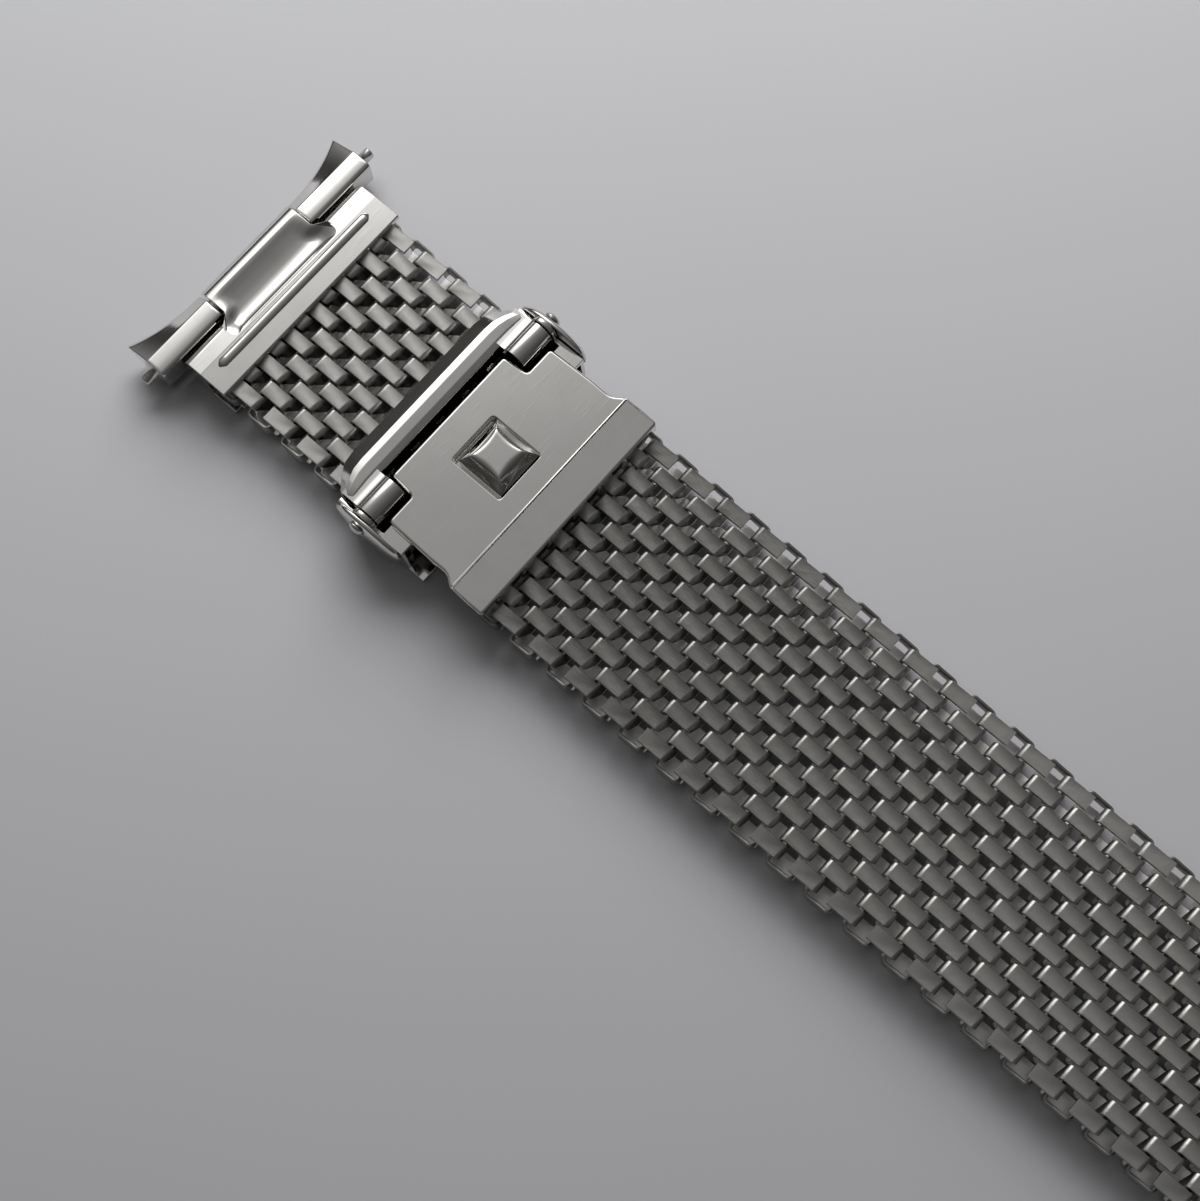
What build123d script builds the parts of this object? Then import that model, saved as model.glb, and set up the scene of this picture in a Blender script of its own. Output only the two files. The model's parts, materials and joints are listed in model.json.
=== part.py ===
from build123d import *

# Woven watch band with a sliding fold-over clasp, in millimetres.
# X runs along the band, Y across it, Z up from the table it lies on.
# X = 0 is the clasp's front pivot, Y = 0 the band's centre line.

# Mesh: flattened coils that lie across the band, each hooked into the next
coil_spacing = 1.50
coil_length = 2.16
coil_height = 2.60
turn_pitch = 2.40
ribbon_width = 1.06
ribbon_thickness = 0.24
bend_chamfer = 0.36
bend_stub = 0.14
turns_across = 7
hoop_thickness = 0.20
hoop_gap = 0.05
hoop_leg = 0.15
hoop_length = 2.00
hoop_height = 1.06
hoop_corner = 0.30
mitre_share = 0.586

# Coils on each side of the clasp, and the stretches of mesh that move as one
short_side_coils = 11
short_side_stretches = ("short_mesh_1", "short_mesh_2", "short_mesh_3", "short_mesh_4")
short_side_end_shares = (0.2, 0.4, 0.65, 1)
long_side_coils = 60
long_side_stretches = (
    "long_mesh_01", "long_mesh_02", "long_mesh_03", "long_mesh_04",
    "long_mesh_05", "long_mesh_06", "long_mesh_07", "long_mesh_08",
    "long_mesh_09", "long_mesh_10", "long_mesh_11", "long_mesh_12",
    "long_mesh_13", "long_mesh_14", "long_mesh_15", "long_mesh_16",
)
first_stretch_share = 0.5
coils_apart = 14.4

# Sheet metal and general clearances
sheet = 0.35
slide_clearance = 0.10
grip_clearance = 0.05
pin_clearance = 0.03
side_clearance = 0.17
overrun = 1.0

# Rear hinge of the cover
rear_pivot_x = 5.35
rear_pivot_z = 0.85
rear_barrel_radius = 0.72
rear_pin_radius = 0.35
rear_lug_length = 3.35
rear_lug_inset = 0.25
rear_lug_gap = 0.15
rear_web = 0.80

# Slide frame
frame_front = -2.35
floor_front = -3.20
frame_to_rear_pivot = 0.85
bridge_front = 1.35
bridge_inset = 0.10
shelf_half_width = 2.20
shelf_past_pivot = 0.25
ear_radius = 0.95
front_pin_radius = 0.35
front_pin_reach = 2.20
rivet_head_radius = 0.58
rivet_head_height = 0.32

# Lock bar
knuckle_radius = 0.90
knuckle_length = 2.60
knuckle_side_gap = 0.10
lock_lip = -3.75
lock_lip_height = 0.70
lock_crest_front = -2.75
lock_crest_back = -1.95
lock_crest_drop = 0.10
lock_back = -1.65
lock_crest = 1.42
lock_corner_length = 1.45
lock_corner_width = 2.20

# Cheeks
cheek_front = -2.35
cheek_back = 3.20
cheek_height = 3.50
cheek_drop = 1.00
cheek_thickness = 0.55
cheek_dome = 0.30
cheek_gap = 0.04

# Cover plate
cover_thickness = 0.60
cover_gap = 0.10
tab_front = -0.65
tab_gap = 0.30
notch_gap = 0.10
shoulder_front = 1.25
shoulder_inset = 0.48
waist_inset = 0.38
grip_from_rear_pivot = 1.00
grip_length = 3.45
grip_overhang = 0.17
grip_waist = 0.05
grip_flare = 0.95
grip_wall = 0.45
grip_pocket_gap = 0.195
grip_edge_height = 0.62
score_from_flare = 0.06
score_width = 0.12
score_depth = 0.06

# Snap stud and the window that drops over it
stud_from_rear_pivot = 1.57
stud_length = 3.60
stud_width = 3.60
stud_foot = 0.60
stud_rise = 1.10
stud_flat = 0.50
window_front_gap = 0.45
window_back_gap = 0.08
window_left_gap = 0.10
window_right_gap = 0.25

# End caps
cap_length = 4.00
cap_overhang = 0.17
cap_pocket_gap = 0.175
cap_wall = 0.40
cap_nose = 0.75
cap_edge_to_coil = 0.675
bead_radius = 0.17
bead_inset = 1.20
bead_from_nose = 2.20

# Tongue, spring bar and end link, which fills the gap between a watch case's lugs
lug_gap = 20.0
lug_clearance = 0.10
bar_from_nose = 1.40
bar_height = 2.00
bar_radius = 0.75
bar_bore_radius = 0.59
plunger_radius = 0.56
plunger_length = 1.90
tip_radius = 0.40
tip_length = 1.00
link_radius = 1.25
link_inner = 4.25
link_edge = 1.25
link_flare = 1.40
link_hollow_share = 0.32
link_floor = -1.45
link_brow = 0.55
link_strap = 0.32
link_strap_back = 0.50
tongue_radius = 1.38
tongue_gap = 0.15
tongue_plate = 0.45
tongue_dish = 0.12
tongue_dish_border = 0.80

# Levels worked out from the stack
mesh_floor = sheet + slide_clearance
mesh_top = mesh_floor + coil_height
mesh_mid = mesh_floor + coil_height / 2
pivot_z = mesh_top + grip_clearance + knuckle_radius
bridge_floor = mesh_top + slide_clearance
bridge_top = bridge_floor + sheet
cover_floor = bridge_top + cover_gap
cover_top = cover_floor + cover_thickness
pocket_floor = mesh_floor - grip_clearance
pocket_top = mesh_top + grip_clearance
cap_top = pocket_top + cap_wall

# Widths worked out from the mesh
edge_row = (turns_across - 1) / 2 * turn_pitch
hoop_inner = edge_row + ribbon_width / 2 + hoop_gap
mesh_half_width = hoop_inner + hoop_leg + hoop_thickness
wall_inner = mesh_half_width + side_clearance
wall_outer = wall_inner + sheet
cheek_inner = wall_outer + cheek_gap
knuckle_outer = wall_inner - knuckle_side_gap
knuckle_inner = knuckle_outer - knuckle_length
tab_half_width = knuckle_inner - tab_gap
notch_half_width = knuckle_inner - notch_gap
shoulder_half_width = mesh_half_width - shoulder_inset
waist_half_width = mesh_half_width - waist_inset
grip_half_width = mesh_half_width + grip_overhang
rear_lug_outer = shoulder_half_width - rear_lug_inset
rear_lug_inner = rear_lug_outer - rear_lug_length
rear_barrel_half_width = rear_lug_inner - rear_lug_gap
cap_half_width = mesh_half_width + cap_overhang
bead_half_length = cap_half_width - bead_inset

# Widths worked out from the lug gap
link_half_width = lug_gap / 2 - lug_clearance
bar_half_length = link_half_width
tongue_half_width = link_inner - tongue_gap

# Places along the band
frame_back = rear_pivot_x - frame_to_rear_pivot
bridge_back = frame_back - bridge_inset
stud_x = rear_pivot_x - stud_from_rear_pivot
grip_front = rear_pivot_x + grip_from_rear_pivot
grip_back = grip_front + grip_length
waist_x = grip_front + grip_waist
flare_x = grip_front + grip_flare
score_x = flare_x - score_from_flare
pocket_x = grip_front + grip_wall
long_side_first = pocket_x + grip_pocket_gap + coil_length / 2
short_side_first = long_side_first - coils_apart * coil_spacing
long_side_last = long_side_first + (long_side_coils - 1) * coil_spacing
near_cap_mouth = short_side_first + cap_edge_to_coil
far_cap_mouth = long_side_last - cap_edge_to_coil
cap_pocket_depth = cap_edge_to_coil + coil_length / 2 + cap_pocket_gap


def slab(x0, x1, y0, y1, z0, z1):
    """A block between two corners."""
    block = Box(x1 - x0, y1 - y0, z1 - z0)
    return Pos((x0 + x1) / 2, (y0 + y1) / 2, (z0 + z1) / 2) * block


def rod(x, z, radius, y0, y1):
    """A round rod along Y."""
    length = y1 - y0
    turned = Rot(90, 0, 0) * Cylinder(radius, length)
    return Pos(x, (y0 + y1) / 2, z) * turned


def across(points, y0, y1):
    """An outline in X and Z, drawn out along Y from y0 to y1."""
    corners = [Vector(x, y0, z) for x, z in points]
    outline = Face(Wire.make_polygon(corners, close=True))
    return Solid.extrude(outline, Vector(0, y1 - y0, 0))


def both_sides(shape):
    """A shape and its mirror image across the band's centre line."""
    return shape + mirror(shape, Plane.XZ)


def staple(y, upper):
    """One flat leg of a coil with its two bent ends, above or below the middle."""
    side = 1 if upper else -1
    top = side * coil_height / 2
    inner = side * (coil_height / 2 - ribbon_thickness)
    bend = side * (coil_height / 2 - bend_chamfer)
    stub = side * (coil_height / 2 - bend_chamfer - bend_stub)
    out = coil_length / 2
    shoulder = out - bend_chamfer
    inside = out - ribbon_thickness
    inner_cut = ribbon_thickness * (1 - mitre_share)
    inner_shoulder = shoulder - inner_cut
    inner_bend = bend - side * inner_cut
    points = [
        (-out, stub), (-out, bend), (-shoulder, top), (shoulder, top), (out, bend), (out, stub),
        (inside, stub), (inside, inner_bend), (inner_shoulder, inner),
        (-inner_shoulder, inner), (-inside, inner_bend), (-inside, stub),
    ]
    half = ribbon_width / 2
    return across(points, y - half, y + half)


def riser(y, right, rising):
    """The slanting wall of a coil that joins an upper leg to a lower one, half a pitch on."""
    stub = coil_height / 2 - bend_chamfer - bend_stub
    x0 = coil_length / 2 - ribbon_thickness if right else -coil_length / 2
    x1 = x0 + ribbon_thickness
    z0 = -stub if rising else stub
    half = ribbon_width / 2
    corners = [
        Vector(x0, y - half, z0), Vector(x1, y - half, z0),
        Vector(x1, y + half, z0), Vector(x0, y + half, z0),
    ]
    foot = Face(Wire.make_polygon(corners, close=True))
    return Solid.extrude(foot, Vector(0, turn_pitch / 2, -2 * z0))


def coil(starts_high):
    """One flattened coil across the whole band, about its own middle."""
    legs = []
    legs_across = 2 * turns_across - 1
    for number in range(legs_across):
        y = -edge_row + number * turn_pitch / 2
        upper = (number % 2 == 0) == starts_high
        legs.append(staple(y, upper))
        if number < legs_across - 1:
            legs.append(riser(y, upper, not upper))
    return legs[0].fuse(*legs[1:]).clean()


def edge_hoop():
    """The turned wire end that closes the band's edge beside every other coil."""
    half = hoop_length / 2
    inner_half = half - hoop_thickness
    y0 = hoop_inner
    y1 = mesh_half_width
    inner_y1 = y1 - hoop_thickness
    inner_corner = hoop_corner - hoop_thickness * mitre_share
    points = [
        (-half, y0), (-half, y1 - hoop_corner), (-half + hoop_corner, y1),
        (half - hoop_corner, y1), (half, y1 - hoop_corner), (half, y0),
        (inner_half, y0), (inner_half, inner_y1 - inner_corner),
        (inner_half - inner_corner, inner_y1), (-inner_half + inner_corner, inner_y1),
        (-inner_half, inner_y1 - inner_corner), (-inner_half, y0),
    ]
    corners = [Vector(x, y, -hoop_height / 2) for x, y in points]
    outline = Face(Wire.make_polygon(corners, close=True))
    return Solid.extrude(outline, Vector(0, 0, hoop_height))


high_coil = coil(True)
low_coil = coil(False)
hoop = edge_hoop()


def mesh_stretch(first_x, numbers, high_parity):
    """A stretch of mesh: its coils in turn, with a hoop at both edges of every low one."""
    pieces = []
    for number in numbers:
        place = Pos(first_x + number * coil_spacing, 0, mesh_mid)
        if number % 2 == high_parity:
            pieces.extend((place * high_coil).solids())
            continue
        pieces.extend((place * low_coil).solids())
        pieces.extend((place * hoop).solids())
        pieces.extend((place * mirror(hoop, Plane.XZ)).solids())
    return Compound(pieces)


def save(shape, name):
    """Write one piece, or a group of loose pieces, to its file."""
    export_step(shape, f"parts/{name}.step")


def slide_frame():
    """The folded sleeve that the short side of the mesh slides through."""
    floor = slab(floor_front, frame_back, -wall_outer, wall_outer, 0, sheet)
    wall = slab(frame_front, cheek_back, wall_inner, wall_outer, 0, bridge_top)
    post = slab(-ear_radius, ear_radius, wall_inner, wall_outer, 0, pivot_z)
    ear = rod(0, pivot_z, ear_radius, wall_inner, wall_outer)
    bridge = slab(bridge_front, cheek_back, -wall_outer, wall_outer, bridge_floor, bridge_top)
    brow = slab(
        bridge_front, bridge_back, -shoulder_half_width, shoulder_half_width,
        bridge_floor, bridge_top,
    )
    shelf = slab(
        bridge_front, rear_pivot_x + shelf_past_pivot, -shelf_half_width, shelf_half_width,
        bridge_floor, bridge_top,
    )
    barrel = rod(
        rear_pivot_x, rear_pivot_z, rear_barrel_radius,
        -rear_barrel_half_width, rear_barrel_half_width,
    )
    saddle = slab(
        frame_back - sheet, rear_pivot_x, -rear_barrel_half_width, rear_barrel_half_width,
        rear_pivot_z - rear_barrel_radius, rear_pivot_z,
    )
    body = floor + both_sides(wall + post + ear) + bridge + brow + shelf + barrel + saddle
    front_hole = rod(
        0, pivot_z, front_pin_radius + pin_clearance, -wall_outer - overrun, wall_outer + overrun
    )
    rear_hole = rod(
        rear_pivot_x, rear_pivot_z, rear_pin_radius + pin_clearance,
        -rear_barrel_half_width - overrun, rear_barrel_half_width + overrun,
    )
    return body - front_hole - rear_hole


def lock_bar():
    """The bar that presses on the mesh, with a knuckle on the front pivot at each end."""
    foot = mesh_top + grip_clearance
    points = [
        (lock_lip, foot), (lock_lip, foot + lock_lip_height),
        (lock_crest_front, foot + lock_crest), (lock_crest_back, foot + lock_crest),
        (lock_back, foot + lock_crest - lock_crest_drop), (lock_back, foot),
    ]
    bar = across(points, -knuckle_outer, knuckle_outer)
    arm_points = [
        (lock_crest_back, foot), (lock_crest_back, foot + lock_crest),
        (0, pivot_z + knuckle_radius), (0, foot),
    ]
    arm = across(arm_points, knuckle_inner, knuckle_outer)
    knuckle = rod(0, pivot_z, knuckle_radius, knuckle_inner, knuckle_outer)
    reach = wall_inner - front_pin_reach - pin_clearance
    hole = rod(0, pivot_z, front_pin_radius + pin_clearance, reach, knuckle_outer + overrun)
    corner = Solid.extrude(
        Face(Wire.make_polygon([
            Vector(lock_lip, knuckle_outer - lock_corner_width, foot),
            Vector(lock_lip + lock_corner_length, knuckle_outer, foot),
            Vector(lock_lip, knuckle_outer, foot),
        ], close=True)),
        Vector(0, 0, lock_crest),
    )
    return bar + both_sides(arm + knuckle) - both_sides(hole + corner)


def cheek():
    """The domed oval plate outside the left wall of the frame."""
    half_length = (cheek_back - cheek_front) / 2
    centre = (cheek_back + cheek_front) / 2
    oval = Ellipse(half_length, cheek_height / 2)
    disc = extrude(Plane.XZ * oval, -cheek_thickness)
    outer_edge = disc.edges().sort_by(Axis.Y)[-1]
    domed = chamfer(outer_edge, cheek_dome)
    placed = Pos(centre, cheek_inner, pivot_z - cheek_drop) * domed
    hole = rod(0, pivot_z, front_pin_radius + pin_clearance, wall_outer, cheek_inner + overrun)
    return placed - hole


def front_pin():
    """The rivet of the front pivot on the left side, with a domed head."""
    head_face = cheek_inner + cheek_thickness
    shank = rod(0, pivot_z, front_pin_radius, wall_inner - front_pin_reach, head_face)
    sphere_radius = (rivet_head_radius ** 2 + rivet_head_height ** 2) / (2 * rivet_head_height)
    ball = Pos(0, head_face + rivet_head_height - sphere_radius, pivot_z) * Sphere(sphere_radius)
    cut = rod(0, pivot_z, sphere_radius + overrun, head_face, head_face + rivet_head_height)
    return shank + (ball & cut)


def cover_sheet():
    """The flat of the cover, with its tab, notches, shoulders and waist."""
    half = [
        (tab_front, tab_half_width), (shoulder_front, notch_half_width),
        (shoulder_front, shoulder_half_width), (waist_x, waist_half_width),
        (flare_x, grip_half_width),
    ]
    other_half = [(x, -y) for x, y in reversed(half)]
    corners = [Vector(x, y, cover_floor) for x, y in half + other_half]
    outline = Face(Wire.make_polygon(corners, close=True))
    return Solid.extrude(outline, Vector(0, 0, cover_thickness))


def cover_grip():
    """The fold at the cover's back that grips the long side of the mesh."""
    web_points = [
        (grip_front, 0), (flare_x, 0), (flare_x, pocket_floor), (pocket_x, pocket_floor),
        (pocket_x, pocket_top), (flare_x, pocket_top), (flare_x, cover_top),
        (grip_front, cover_top),
    ]
    upper_points = [
        (flare_x, pocket_top), (grip_back, pocket_top),
        (grip_back, pocket_top + grip_edge_height), (flare_x, cover_top),
    ]
    web = across(web_points, -waist_half_width, waist_half_width)
    upper = across(upper_points, -grip_half_width, grip_half_width)
    lower = slab(flare_x, grip_back, -grip_half_width, grip_half_width, 0, pocket_floor)
    return web + upper + lower


def cover_plate():
    """The cover: its sheet, grip, hinge lugs, stud window and score line."""
    lug = rod(rear_pivot_x, rear_pivot_z, rear_barrel_radius, rear_lug_inner, rear_lug_outer)
    web = slab(
        rear_pivot_x - rear_web / 2, rear_pivot_x + rear_web / 2,
        rear_lug_inner, rear_lug_outer, rear_pivot_z, cover_floor + cover_thickness / 2,
    )
    window = slab(
        stud_x - stud_length / 2 - window_front_gap,
        stud_x + stud_length / 2 + window_back_gap,
        -stud_width / 2 - window_right_gap, stud_width / 2 + window_left_gap,
        cover_floor - overrun, cover_top + overrun,
    )
    score = slab(
        score_x - score_width, score_x, -grip_half_width - overrun, grip_half_width + overrun,
        cover_top - score_depth, cover_top + overrun,
    )
    hole = rod(
        rear_pivot_x, rear_pivot_z, rear_pin_radius + pin_clearance,
        rear_lug_inner - overrun, rear_lug_outer + overrun,
    )
    body = cover_sheet() + cover_grip() + both_sides(lug + web)
    return body - window - score - both_sides(hole)


def rear_pin():
    """The straight pin that the cover swings on."""
    return rod(rear_pivot_x, rear_pivot_z, rear_pin_radius, -rear_lug_outer, rear_lug_outer)


def snap_stud():
    """The four-sided stud on the frame's bridge, which the cover's window snaps over."""
    foot = bridge_top
    rim = foot + stud_foot
    base = slab(
        stud_x - stud_length / 2, stud_x + stud_length / 2,
        -stud_width / 2, stud_width / 2, foot, rim,
    )
    lower = Pos(stud_x, 0, rim) * Rectangle(stud_length, stud_width)
    upper = Pos(stud_x, 0, rim + stud_rise) * Rectangle(stud_flat, stud_flat)
    return base + loft([lower.face(), upper.face()])


def end_cap(mouth, facing):
    """The folded cap on a mesh end. facing is 1 when its nose points to +X, else -1."""
    nose = mouth + facing * cap_length
    back = mouth + facing * cap_pocket_depth
    bar_x = nose + facing * bar_from_nose
    points = [
        (mouth, 0), (nose - facing * cap_nose / 2, 0), (nose, cap_nose / 2),
        (nose, cap_top - cap_nose), (nose - facing * cap_nose, cap_top), (mouth, cap_top),
        (mouth, pocket_top), (back, pocket_top), (back, pocket_floor), (mouth, pocket_floor),
    ]
    shell = across(points, -cap_half_width, cap_half_width)
    bead_x = nose - facing * bead_from_nose
    bead = rod(bead_x, cap_top, bead_radius, -bead_half_length, bead_half_length)
    barrel = rod(bar_x, bar_height, tongue_radius, -tongue_half_width, tongue_half_width)
    plate_end = nose - facing * cap_nose
    low_x = min(bar_x, plate_end)
    high_x = max(bar_x, plate_end)
    barrel_top = bar_height + tongue_radius
    plate = slab(
        low_x, high_x, -tongue_half_width, tongue_half_width, barrel_top - tongue_plate, barrel_top
    )
    dish = slab(
        low_x, high_x, tongue_dish_border - tongue_half_width,
        tongue_half_width - tongue_dish_border, barrel_top - tongue_dish, barrel_top + overrun,
    )
    hole = rod(
        bar_x, bar_height, bar_radius + pin_clearance,
        -tongue_half_width - overrun, tongue_half_width + overrun,
    )
    return shell + bead + barrel + (plate - dish) - hole


def end_link(bar_x, facing):
    """The piece that closes the gap between band and case, with a hollowed front edge."""
    ridge = rod(bar_x, bar_height, link_radius, link_inner, link_half_width)
    inner_front = bar_x + facing * link_edge
    outer_front = inner_front + facing * link_flare
    middle_y = (link_inner + link_half_width) / 2
    middle_front = inner_front + facing * link_flare * link_hollow_share
    z0 = bar_height + link_floor
    z1 = bar_height + link_brow
    near_corner = Vector(bar_x, link_inner, z0)
    far_corner = Vector(bar_x, link_half_width, z0)
    inner_corner = Vector(inner_front, link_inner, z0)
    outer_corner = Vector(outer_front, link_half_width, z0)
    hollow = ThreePointArc(inner_corner, Vector(middle_front, middle_y, z0), outer_corner)
    outline = Wire([
        Edge.make_line(near_corner, inner_corner), hollow.edge(),
        Edge.make_line(outer_corner, far_corner), Edge.make_line(far_corner, near_corner),
    ])
    horn = Solid.extrude(Face(outline), Vector(0, 0, z1 - z0))
    strap_x = sorted((inner_front, bar_x - facing * link_strap_back))
    strap = slab(strap_x[0], strap_x[1], -link_inner, link_inner, z0, z0 + link_strap)
    low_strap = Pos(0, 0, -link_strap) * strap
    riser_block = slab(
        strap_x[0], strap_x[1], link_inner, link_inner + link_strap,
        z0 - link_strap, bar_height,
    )
    hole = rod(
        bar_x, bar_height, bar_radius + pin_clearance,
        link_inner - overrun, link_half_width + overrun,
    )
    return low_strap + both_sides(ridge + horn + riser_block - hole)


def bar_tube(bar_x):
    """The tube of a spring bar."""
    tube = rod(bar_x, bar_height, bar_radius, -bar_half_length, bar_half_length)
    bore = rod(
        bar_x, bar_height, bar_bore_radius, -bar_half_length - overrun, bar_half_length + overrun
    )
    return tube - bore


def bar_tip(bar_x):
    """The left sprung tip of a spring bar, with the plunger that slides in the tube."""
    plunger = rod(
        bar_x, bar_height, plunger_radius, bar_half_length - plunger_length, bar_half_length
    )
    tip = rod(bar_x, bar_height, tip_radius, bar_half_length, bar_half_length + tip_length)
    return plunger + tip


def save_short_side():
    """Write the short side of the mesh, from its end cap to its tail in the clasp."""
    first = 0
    for name, share in zip(short_side_stretches, short_side_end_shares):
        last = round(short_side_coils * share)
        save(mesh_stretch(short_side_first, range(first, last), 1), name)
        first = last


def save_long_side():
    """Write the long side of the mesh, from the cover's grip to its end cap."""
    stretches = len(long_side_stretches)
    first = 0
    for order, name in enumerate(long_side_stretches):
        share = min(1, (order + first_stretch_share) / (stretches - 1))
        last = round(long_side_coils * share)
        save(mesh_stretch(long_side_first, range(first, last), 0), name)
        first = last


def save_end(mouth, facing, side):
    """Write an end cap with its end link and spring bar. side is near or far."""
    bar_x = mouth + facing * (cap_length + bar_from_nose)
    save(end_cap(mouth, facing), f"{side}_end_cap")
    save(end_link(bar_x, facing), f"{side}_end_link")
    save(bar_tube(bar_x), f"{side}_spring_bar")
    save(bar_tip(bar_x), f"{side}_bar_tip_left")
    save(mirror(bar_tip(bar_x), Plane.XZ), f"{side}_bar_tip_right")


def save_clasp():
    """Write the pieces of the clasp."""
    save(slide_frame(), "slide_frame")
    save(lock_bar(), "lock_bar")
    save(cheek(), "cheek_left")
    save(mirror(cheek(), Plane.XZ), "cheek_right")
    save(front_pin(), "front_pin_left")
    save(mirror(front_pin(), Plane.XZ), "front_pin_right")
    save(snap_stud(), "snap_stud")
    save(cover_plate(), "cover_plate")
    save(rear_pin(), "cover_pin")


save_clasp()
save_short_side()
save_long_side()
save_end(near_cap_mouth, -1, "near")
save_end(far_cap_mouth, 1, "far")
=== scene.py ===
"""Woven steel watch band with a sliding fold-over clasp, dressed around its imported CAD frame."""
import sys
import json
import logging
import math
from dataclasses import dataclass, field
from enum import Enum
from typing import Any, Callable, Iterable, Optional, Sequence, Union

import bmesh
import bpy
from mathutils import Matrix, Vector

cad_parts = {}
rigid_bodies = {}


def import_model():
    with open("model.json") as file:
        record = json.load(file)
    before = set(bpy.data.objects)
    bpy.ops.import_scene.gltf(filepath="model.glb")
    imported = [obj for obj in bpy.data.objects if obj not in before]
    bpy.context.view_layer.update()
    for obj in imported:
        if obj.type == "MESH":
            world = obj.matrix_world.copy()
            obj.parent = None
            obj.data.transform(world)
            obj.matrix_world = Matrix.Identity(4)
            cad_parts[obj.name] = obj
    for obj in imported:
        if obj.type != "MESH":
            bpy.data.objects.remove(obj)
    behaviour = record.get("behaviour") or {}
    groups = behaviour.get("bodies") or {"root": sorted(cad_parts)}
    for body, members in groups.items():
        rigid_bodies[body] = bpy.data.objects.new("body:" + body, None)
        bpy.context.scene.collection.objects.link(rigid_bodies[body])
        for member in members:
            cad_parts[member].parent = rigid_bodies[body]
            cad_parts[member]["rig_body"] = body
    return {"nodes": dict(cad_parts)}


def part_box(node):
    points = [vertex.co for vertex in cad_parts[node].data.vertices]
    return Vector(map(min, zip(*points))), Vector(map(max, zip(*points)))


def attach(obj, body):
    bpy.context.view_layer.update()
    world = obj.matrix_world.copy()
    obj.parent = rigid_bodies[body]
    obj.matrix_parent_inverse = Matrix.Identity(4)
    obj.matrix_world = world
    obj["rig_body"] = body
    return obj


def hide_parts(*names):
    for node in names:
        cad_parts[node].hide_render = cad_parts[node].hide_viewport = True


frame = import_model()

LOG = logging.getLogger("watch_band")
MM = 0.001

Colour = tuple[float, float, float, float]
Place = tuple[float, float, float]
Span = tuple[float, float]
Point = tuple[float, float]
Corner = tuple[float, float, float]


def box_mm(node: str) -> tuple[float, ...]:
    """A CAD node's least and greatest X, then Y, then Z, in millimetres."""
    low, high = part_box(node)
    return tuple(v / MM for v in (low.x, high.x, low.y, high.y, low.z, high.z))


def added(name: str, data: bpy.types.ID) -> bpy.types.Object:
    """Adds an object to the scene, at the origin.

    Args:
        name: its name.
        data: its mesh, lamp or camera.

    Returns:
        The object.
    """
    thing = bpy.data.objects.new(name, data)
    bpy.context.collection.objects.link(thing)
    return thing


def operator(operation: str, turned: bool = False) -> Callable[["Flow", Any], "Flow"]:
    """Makes a Python operator that adds a Math node.

    Args:
        operation: the Math node's operation.
        turned: whether the two values change places, as in a reflected form.

    Returns:
        The operator's method.
    """
    def method(self: "Flow", other: Any) -> "Flow":
        """The result of the operation on self and other."""
        return self.maths(operation, *((other, self) if turned else (self, other)))

    return method


class Flow:
    """The output of a node. A sum written on it in Python adds its Math nodes."""

    def __init__(self, bench: "Bench", socket: bpy.types.NodeSocket) -> None:
        """Keeps the socket and the bench that its tree is laid out on."""
        self.bench = bench
        self.socket = socket

    def out(self, name: Union[str, int]) -> "Flow":
        """Another output of the same node."""
        return Flow(self.bench, self.socket.node.outputs[name])

    def maths(self, operation: str, first: Any, second: Any = 0.0) -> "Flow":
        """Adds one Math node.

        Args:
            operation: the Math node's operation.
            first: a flow or a number.
            second: a flow or a number.

        Returns:
            The result.
        """
        return self.bench.add("ShaderNodeMath", {"operation": operation}, {0: first, 1: second})

    __add__, __radd__ = operator("ADD"), operator("ADD", True)
    __sub__, __rsub__ = operator("SUBTRACT"), operator("SUBTRACT", True)
    __mul__, __rmul__ = operator("MULTIPLY"), operator("MULTIPLY", True)
    __truediv__, __rtruediv__ = operator("DIVIDE"), operator("DIVIDE", True)
    __mod__, __rmod__ = operator("FLOORED_MODULO"), operator("FLOORED_MODULO", True)

    def __floordiv__(self, other: Any) -> "Flow":
        """self / other, rounded down."""
        return self.maths("FLOOR", self / other)

    def __rfloordiv__(self, other: Any) -> "Flow":
        """other / self, rounded down."""
        return self.maths("FLOOR", other / self)

    def __abs__(self) -> "Flow":
        """self without its sign."""
        return self.maths("ABSOLUTE", self)

    def between(self, low: float, high: float) -> "Flow":
        """0 below low, 1 above high, and a smooth step between them."""
        return self.bench.add("ShaderNodeMapRange", {"interpolation_type": "SMOOTHSTEP"},
                              {0: self, 1: low, 2: high, 3: 0.0, 4: 1.0})


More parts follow.
